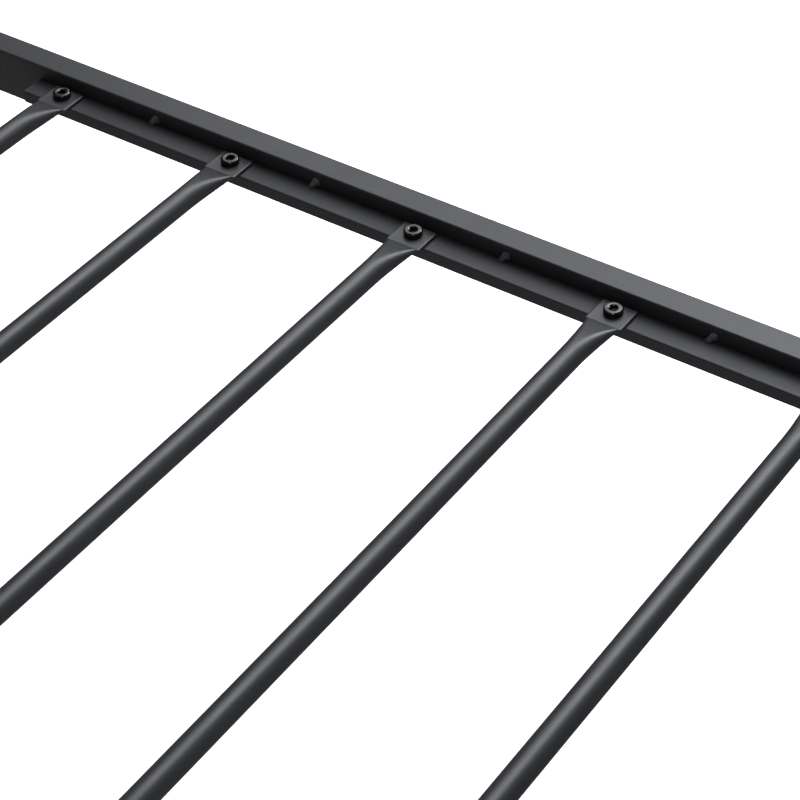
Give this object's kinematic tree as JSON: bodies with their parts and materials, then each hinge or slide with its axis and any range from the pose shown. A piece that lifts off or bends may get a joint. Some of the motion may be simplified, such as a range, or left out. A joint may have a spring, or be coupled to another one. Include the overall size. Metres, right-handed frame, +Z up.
{
  "type": "metal bed frame",
  "caption": "Knock-down steel bed base: rectangular side rails with welded ledges, round tube slats with flattened ends bolted on, posts and a centre beam on levelling feet.",
  "frame": {"origin": "on the floor, under the middle of the frame", "axes": "+X across the bed, +Y to the head end, +Z up"},
  "size_m": [1.43, 1.98, 0.35],
  "materials": {
    "graphite_powder_coat": "satin powder coat, charcoal black",
    "black_oxide_steel": "black oxide, lightly oiled gloss",
    "zinc_plated_steel": "bright zinc plate",
    "black_plastic": "fine matte moulded"
  },
  "bodies": {
    "frame": {"centre_beam": "graphite_powder_coat", "corner_glides": "black_plastic", "end_frame_welds": "graphite_powder_coat", "foot_beam_saddle": "graphite_powder_coat", "foot_centre_leg": "graphite_powder_coat", "foot_left_post": "graphite_powder_coat", "foot_leg_flange": "graphite_powder_coat", "foot_leg_insert": "black_plastic", "foot_rail": "graphite_powder_coat", "foot_right_post": "graphite_powder_coat", "head_beam_saddle": "graphite_powder_coat", "head_centre_leg": "graphite_powder_coat", "head_left_post": "graphite_powder_coat", "head_leg_flange": "graphite_powder_coat", "head_leg_insert": "black_plastic", "head_rail": "graphite_powder_coat", "head_right_post": "graphite_powder_coat", "ledge_rivet_nuts": "zinc_plated_steel", "left_ledge_welds": "graphite_powder_coat", "left_side_rail": "graphite_powder_coat", "left_slat_ledge": "graphite_powder_coat", "leg_bolts": "black_oxide_steel", "leg_rivet_nuts": "zinc_plated_steel", "post_caps": "black_plastic", "right_ledge_welds": "graphite_powder_coat", "right_side_rail": "graphite_powder_coat", "right_slat_ledge": "graphite_powder_coat", "saddle_bolts": "black_oxide_steel", "saddle_lock_nuts": "zinc_plated_steel", "slat_1": "graphite_powder_coat", "slat_10": "graphite_powder_coat", "slat_11": "graphite_powder_coat", "slat_2": "graphite_powder_coat", "slat_3": "graphite_powder_coat", "slat_4": "graphite_powder_coat", "slat_5": "graphite_powder_coat", "slat_6": "graphite_powder_coat", "slat_7": "graphite_powder_coat", "slat_8": "graphite_powder_coat", "slat_9": "graphite_powder_coat", "slat_bolts": "black_oxide_steel", "tongue_bolts": "black_oxide_steel", "tongue_plates": "graphite_powder_coat", "tongue_rivet_nuts": "zinc_plated_steel"},
    "head_levelling_foot": {"head_foot_stud": "zinc_plated_steel", "head_foot_pad": "black_plastic"},
    "foot_levelling_foot": {"foot_foot_stud": "zinc_plated_steel", "foot_foot_pad": "black_plastic"}
  },
  "joints": [
    {"name": "head_levelling_foot_screw", "type": "slide", "parent": "frame", "child": "head_levelling_foot", "axis": [0, 0, 1], "range_m": [-0.012, 0.003]},
    {"name": "foot_levelling_foot_screw", "type": "slide", "parent": "frame", "child": "foot_levelling_foot", "axis": [0, 0, 1], "range_m": [-0.012, 0.003]}
  ]
}
